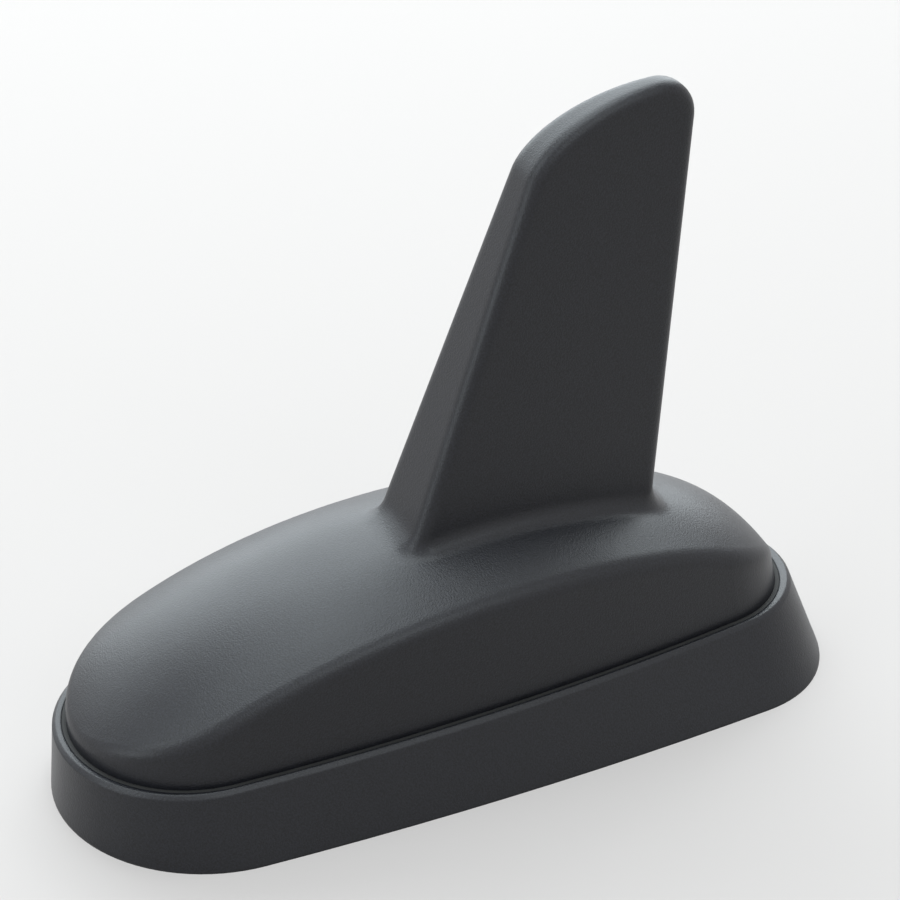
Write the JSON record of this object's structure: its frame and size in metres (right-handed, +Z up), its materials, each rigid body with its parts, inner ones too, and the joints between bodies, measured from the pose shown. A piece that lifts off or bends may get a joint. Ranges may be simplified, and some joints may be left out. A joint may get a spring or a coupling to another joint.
{
  "type": "shark fin aerial",
  "caption": "Roof aerial for a vehicle: a domed charcoal cover with a swept upright fin on a flared oval foot, with a threaded fixing insert and a twin lead socket underneath.",
  "frame": {"origin": "centre of the foot's outline on the roof surface", "axes": "+Z up off the roof, -Y towards the nose, +X to the vehicle's left, the side seen in the picture"},
  "size_m": [0.0408, 0.1045, 0.0835],
  "materials": {
    "cover_plastic": "fine-grained satin moulding",
    "skirt_plastic": "fine-grained satin moulding",
    "plate_plastic": "plain moulding",
    "seal_rubber": "matte",
    "insert_brass": "turned",
    "screw_steel": "zinc plated",
    "board_laminate": "solder resist",
    "trace_copper": "bare copper",
    "can_tin": "tinned sheet",
    "patch_ceramic": "fired ceramic",
    "electrode_silver": "silvered",
    "pin_brass": "drawn",
    "socket_plastic": "plain moulding",
    "contact_brass": "plated",
    "insulator_plastic": "plain"
  },
  "bodies": {
    "root": {"fin_cover": "cover_plastic", "base_skirt": "skirt_plastic", "base_plate": "plate_plastic", "cover_seal": "seal_rubber", "roof_seal": "seal_rubber", "bolt_insert": "insert_brass", "cover_screws": "screw_steel", "board_screws": "screw_steel", "main_board": "board_laminate", "radiator_board": "board_laminate", "radiator_trace": "trace_copper", "shield_can": "can_tin", "patch_ceramic": "patch_ceramic", "patch_electrode": "electrode_silver", "patch_pin": "pin_brass", "socket_housing": "socket_plastic", "radio_shell": "contact_brass", "radio_insulator": "insulator_plastic", "radio_contact": "contact_brass", "satellite_shell": "contact_brass", "satellite_insulator": "insulator_plastic", "satellite_contact": "contact_brass"}
  },
  "joints": []
}
